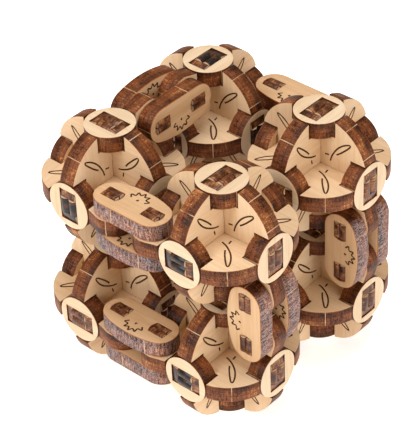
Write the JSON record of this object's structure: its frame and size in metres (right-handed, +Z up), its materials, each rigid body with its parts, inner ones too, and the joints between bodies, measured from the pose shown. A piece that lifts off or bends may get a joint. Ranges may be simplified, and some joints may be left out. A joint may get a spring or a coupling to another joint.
{
  "type": "folding cube puzzle",
  "caption": "Laser-cut plywood folding puzzle: eight openwork balls of crossed discs, joined in a closed loop by pinned double-plate links.",
  "frame": {"origin": "middle of the bounding box's base, on the surface that the closed cube stands on", "axes": "+Z up; -Y and +X are the two sides of the cube that face its front edge; the balls' centres are at the corners of an upright cube with its sides along the axes"},
  "size_m": [0.0634, 0.0644, 0.0644],
  "materials": {
    "birch_disc": "sanded birch plywood with charred laser-cut edges",
    "birch_plate": "sanded birch plywood with charred laser-cut edges",
    "charred_pin": "laser-charred end grain, slightly glossy"
  },
  "bodies": {
    "ball_bottom_back": {"ball_bottom_back_disc_xy": "birch_disc", "ball_bottom_back_disc_yz": "birch_disc", "ball_bottom_back_disc_zx": "birch_disc"},
    "ball_bottom_front": {"ball_bottom_front_disc_xy": "birch_disc", "ball_bottom_front_disc_yz": "birch_disc", "ball_bottom_front_disc_zx": "birch_disc"},
    "ball_bottom_left": {"ball_bottom_left_disc_xy": "birch_disc", "ball_bottom_left_disc_yz": "birch_disc", "ball_bottom_left_disc_zx": "birch_disc"},
    "ball_bottom_right": {"ball_bottom_right_disc_xy": "birch_disc", "ball_bottom_right_disc_yz": "birch_disc", "ball_bottom_right_disc_zx": "birch_disc"},
    "ball_top_back": {"ball_top_back_disc_xy": "birch_disc", "ball_top_back_disc_yz": "birch_disc", "ball_top_back_disc_zx": "birch_disc"},
    "ball_top_front": {"ball_top_front_disc_xy": "birch_disc", "ball_top_front_disc_yz": "birch_disc", "ball_top_front_disc_zx": "birch_disc"},
    "ball_top_left": {"ball_top_left_disc_xy": "birch_disc", "ball_top_left_disc_yz": "birch_disc", "ball_top_left_disc_zx": "birch_disc"},
    "ball_top_right": {"ball_top_right_disc_xy": "birch_disc", "ball_top_right_disc_yz": "birch_disc", "ball_top_right_disc_zx": "birch_disc"},
    "link_bottom_back_right": {"link_bottom_back_right_pin_back": "charred_pin", "link_bottom_back_right_pin_right": "charred_pin", "link_bottom_back_right_plate_a": "birch_plate", "link_bottom_back_right_plate_b": "birch_plate"},
    "link_bottom_left_back": {"link_bottom_left_back_pin_back": "charred_pin", "link_bottom_left_back_pin_left_stub_a": "charred_pin", "link_bottom_left_back_pin_left_stub_b": "charred_pin", "link_bottom_left_back_plate_a": "birch_plate", "link_bottom_left_back_plate_b": "birch_plate"},
    "link_bottom_left_front": {"link_bottom_left_front_pin_front": "charred_pin", "link_bottom_left_front_pin_left": "charred_pin", "link_bottom_left_front_plate_a": "birch_plate", "link_bottom_left_front_plate_b": "birch_plate"},
    "link_top_back_right": {"link_top_back_right_pin_back": "charred_pin", "link_top_back_right_pin_right": "charred_pin", "link_top_back_right_plate_a": "birch_plate", "link_top_back_right_plate_b": "birch_plate"},
    "link_top_left_back": {"link_top_left_back_pin_back": "charred_pin", "link_top_left_back_pin_left": "charred_pin", "link_top_left_back_plate_a": "birch_plate", "link_top_left_back_plate_b": "birch_plate"},
    "link_top_left_front": {"link_top_left_front_pin_front": "charred_pin", "link_top_left_front_pin_left": "charred_pin", "link_top_left_front_plate_a": "birch_plate", "link_top_left_front_plate_b": "birch_plate"},
    "link_upright_front": {"link_upright_front_pin_bottom": "charred_pin", "link_upright_front_pin_top": "charred_pin", "link_upright_front_plate_a": "birch_plate", "link_upright_front_plate_b": "birch_plate"},
    "link_upright_right": {"link_upright_right_pin_bottom": "charred_pin", "link_upright_right_pin_top": "charred_pin", "link_upright_right_plate_a": "birch_plate", "link_upright_right_plate_b": "birch_plate"}
  },
  "joints": [
    {"name": "upright_front_pivot_top", "type": "hinge", "parent": "ball_top_front", "child": "link_upright_front", "pos_m": [0.02652, -0.01625, 0.038], "axis": [0, -1, 0], "range_deg": [0, 90]},
    {"name": "upright_front_pivot_bottom", "type": "hinge", "parent": "link_upright_front", "child": "ball_bottom_front", "pos_m": [0.02652, -0.01625, 0.0264], "axis": [0, -1, 0], "range_deg": [0, 90]},
    {"name": "upright_right_pivot_top", "type": "hinge", "parent": "ball_top_right", "child": "link_upright_right", "pos_m": [0.02652, 0.01625, 0.038], "axis": [0, -1, 0], "range_deg": [0, 90]},
    {"name": "upright_right_pivot_bottom", "type": "hinge", "parent": "link_upright_right", "child": "ball_bottom_right", "pos_m": [0.02652, 0.01625, 0.0264], "axis": [0, -1, 0], "range_deg": [0, 90]},
    {"name": "top_left_front_pivot_left", "type": "hinge", "parent": "ball_top_left", "child": "link_top_left_front", "pos_m": [-0.00632, -0.02705, 0.04845], "axis": [0, 0, -1], "range_deg": [0, 90]},
    {"name": "top_left_front_pivot_front", "type": "hinge", "parent": "link_top_left_front", "child": "ball_top_front", "pos_m": [0.00528, -0.02705, 0.04845], "axis": [0, 0, -1], "range_deg": [0, 90]},
    {"name": "bottom_left_front_pivot_front", "type": "hinge", "parent": "ball_bottom_front", "child": "link_bottom_left_front", "pos_m": [0.00528, -0.02705, 0.01595], "axis": [0, 0, -1], "range_deg": [-90, 0]},
    {"name": "bottom_left_front_pivot_left", "type": "hinge", "parent": "link_bottom_left_front", "child": "ball_bottom_left", "pos_m": [-0.00632, -0.02705, 0.01595], "axis": [0, 0, -1], "range_deg": [-90, 0]},
    {"name": "top_back_right_pivot_back", "type": "hinge", "parent": "ball_top_back", "child": "link_top_back_right", "pos_m": [-0.00632, 0.02705, 0.04845], "axis": [0, 0, 1], "range_deg": [0, 90]},
    {"name": "top_back_right_pivot_right", "type": "hinge", "parent": "link_top_back_right", "child": "ball_top_right", "pos_m": [0.00528, 0.02705, 0.04845], "axis": [0, 0, 1], "range_deg": [0, 90]},
    {"name": "bottom_back_right_pivot_right", "type": "hinge", "parent": "ball_bottom_right", "child": "link_bottom_back_right", "pos_m": [0.00528, 0.02705, 0.01595], "axis": [0, 0, 1], "range_deg": [-90, 0]},
    {"name": "bottom_back_right_pivot_back", "type": "hinge", "parent": "link_bottom_back_right", "child": "ball_bottom_back", "pos_m": [-0.00632, 0.02705, 0.01595], "axis": [0, 0, 1], "range_deg": [-90, 0]},
    {"name": "top_left_back_pivot_left", "type": "hinge", "parent": "ball_top_left", "child": "link_top_left_back", "pos_m": [-0.01678, -0.0058, 0.05925], "axis": [1, 0, 0], "range_deg": [0, 90]},
    {"name": "top_left_back_pivot_back", "type": "hinge", "parent": "link_top_left_back", "child": "ball_top_back", "pos_m": [-0.01678, 0.0058, 0.05925], "axis": [1, 0, 0], "range_deg": [0, 90]},
    {"name": "bottom_left_back_pivot_back", "type": "hinge", "parent": "ball_bottom_back", "child": "link_bottom_left_back", "pos_m": [-0.01678, 0.0058, 0.00515], "axis": [1, 0, 0], "range_deg": [0, 90]}
  ],
  "couplings": [
    {"joint": "upright_front_pivot_bottom", "follows": "upright_front_pivot_top", "ratio": 1},
    {"joint": "upright_right_pivot_top", "follows": "upright_front_pivot_top", "ratio": 1},
    {"joint": "upright_right_pivot_bottom", "follows": "upright_front_pivot_top", "ratio": 1},
    {"joint": "top_left_front_pivot_front", "follows": "top_left_front_pivot_left", "ratio": 1},
    {"joint": "bottom_left_front_pivot_front", "follows": "top_left_front_pivot_left", "ratio": -1},
    {"joint": "bottom_left_front_pivot_left", "follows": "top_left_front_pivot_left", "ratio": -1},
    {"joint": "top_back_right_pivot_right", "follows": "top_back_right_pivot_back", "ratio": 1},
    {"joint": "bottom_back_right_pivot_right", "follows": "top_back_right_pivot_back", "ratio": -1},
    {"joint": "bottom_back_right_pivot_back", "follows": "top_back_right_pivot_back", "ratio": -1},
    {"joint": "top_left_back_pivot_back", "follows": "top_left_back_pivot_left", "ratio": 1},
    {"joint": "bottom_left_back_pivot_back", "follows": "top_left_back_pivot_left", "ratio": 1}
  ]
}
